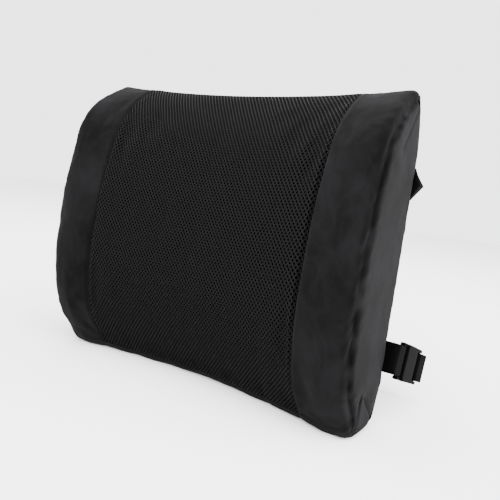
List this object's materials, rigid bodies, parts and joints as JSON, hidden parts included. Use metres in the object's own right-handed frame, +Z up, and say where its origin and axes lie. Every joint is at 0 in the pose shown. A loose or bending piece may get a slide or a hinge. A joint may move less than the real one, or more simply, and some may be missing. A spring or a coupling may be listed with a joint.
{
  "type": "lumbar support cushion",
  "caption": "Chair back cushion: curved foam core in a zip-off mesh and velour cover, with buckled webbing straps behind that go round a chair back.",
  "frame": {"origin": "middle of the flat base that the cushion stands on", "axes": "+X along the width to the side where the buckles are, +Y from the front to the chair back, +Z up"},
  "size_m": [0.4236, 0.2121, 0.3287],
  "materials": {
    "spacer_mesh": "open knitted mesh",
    "velour": "short brushed pile",
    "memory_foam": "moulded open-cell foam",
    "zipper_tape": "woven",
    "zipper_coil": "satin",
    "zipper_metal": "gloss",
    "strap_webbing": "woven elastic",
    "buckle_plastic": "satin"
  },
  "bodies": {
    "cushion": {"back_panel": "velour", "back_panel_lower_strip": "velour", "base_panel": "velour", "foam_core": "memory_foam", "left_front_panel": "velour", "left_side_panel": "velour", "lower_strap_left_tab": "strap_webbing", "lower_strap_right_tab": "strap_webbing", "mesh_front_panel": "spacer_mesh", "right_front_panel": "velour", "right_side_panel": "velour", "upper_strap_left_tab": "strap_webbing", "upper_strap_right_tab": "strap_webbing", "zipper_coil_lower": "zipper_coil", "zipper_coil_upper": "zipper_coil", "zipper_end_stops": "zipper_metal", "zipper_tape_lower": "zipper_tape", "zipper_tape_upper": "zipper_tape"},
    "zip_slider": {"zipper_slider": "zipper_metal"},
    "zip_pull": {"zipper_pull": "zipper_metal"},
    "lower_strap_loop": {"lower_strap_buckle_socket": "buckle_plastic", "lower_strap_long_webbing": "strap_webbing", "lower_strap_short_webbing": "strap_webbing"},
    "lower_strap_plug": {"lower_strap_buckle_plug": "buckle_plastic", "lower_strap_slack_webbing": "strap_webbing"},
    "lower_strap_arm_upper": {"lower_strap_latch_arm_upper": "buckle_plastic"},
    "lower_strap_arm_lower": {"lower_strap_latch_arm_lower": "buckle_plastic"},
    "upper_strap_loop": {"upper_strap_buckle_socket": "buckle_plastic", "upper_strap_long_webbing": "strap_webbing", "upper_strap_short_webbing": "strap_webbing"},
    "upper_strap_plug": {"upper_strap_buckle_plug": "buckle_plastic", "upper_strap_slack_webbing": "strap_webbing"},
    "upper_strap_arm_upper": {"upper_strap_latch_arm_upper": "buckle_plastic"},
    "upper_strap_arm_lower": {"upper_strap_latch_arm_lower": "buckle_plastic"}
  },
  "joints": [
    {"name": "zip_slide", "type": "slide", "parent": "cushion", "child": "zip_slider", "axis": [-1, 0, 0], "range_m": [0, 0.2863]},
    {"name": "zip_pull_flip", "type": "hinge", "parent": "zip_slider", "child": "zip_pull", "pos_m": [0.14315, 0.02505, 0.0296], "axis": [0, 0, -1], "range_deg": [0, 165]},
    {"name": "lower_strap_swing", "type": "hinge", "parent": "cushion", "child": "lower_strap_loop", "pos_m": [0, 0.02, 0.0731], "axis": [1, 0, 0], "range_deg": [-14, 55]},
    {"name": "lower_strap_release", "type": "slide", "parent": "lower_strap_loop", "child": "lower_strap_plug", "axis": [0.0698, 0.954, -0.2917], "range_m": [0, 0.023], "deforming": ["lower_strap_slack_webbing", "lower_strap_latch_arm_upper", "lower_strap_latch_arm_lower"]},
    {"name": "lower_strap_squeeze_upper", "type": "hinge", "parent": "lower_strap_plug", "child": "lower_strap_arm_upper", "pos_m": [0.20491, 0.07662, 0.06688], "axis": [0.9976, -0.0667, 0.0204], "range_deg": [0, 7.5], "stiffness_Nm_per_rad": 0.5},
    {"name": "lower_strap_squeeze_lower", "type": "hinge", "parent": "lower_strap_plug", "child": "lower_strap_arm_lower", "pos_m": [0.20491, 0.07042, 0.0466], "axis": [-0.9976, 0.0667, -0.0204], "range_deg": [0, 7.5], "stiffness_Nm_per_rad": 0.5},
    {"name": "upper_strap_swing", "type": "hinge", "parent": "cushion", "child": "upper_strap_loop", "pos_m": [0, 0.02, 0.2426], "axis": [1, 0, 0], "range_deg": [-40, 50]},
    {"name": "upper_strap_release", "type": "slide", "parent": "upper_strap_loop", "child": "upper_strap_plug", "axis": [-0.9976, 0.0697, -0.0037], "range_m": [0, 0.023], "deforming": ["upper_strap_slack_webbing", "upper_strap_latch_arm_upper", "upper_strap_latch_arm_lower"]},
    {"name": "upper_strap_squeeze_upper", "type": "hinge", "parent": "upper_strap_plug", "child": "upper_strap_arm_upper", "pos_m": [0.10658, 0.07751, 0.2502], "axis": [0.0698, 0.9962, -0.0522], "range_deg": [0, 7.5], "stiffness_Nm_per_rad": 0.5},
    {"name": "upper_strap_squeeze_lower", "type": "hinge", "parent": "upper_strap_plug", "child": "upper_strap_arm_lower", "pos_m": [0.10658, 0.0764, 0.22903], "axis": [-0.0698, -0.9962, 0.0522], "range_deg": [0, 7.5], "stiffness_Nm_per_rad": 0.5}
  ],
  "couplings": [
    {"joint": "lower_strap_squeeze_lower", "follows": "lower_strap_squeeze_upper", "ratio": 1},
    {"joint": "upper_strap_squeeze_lower", "follows": "upper_strap_squeeze_upper", "ratio": 1}
  ]
}
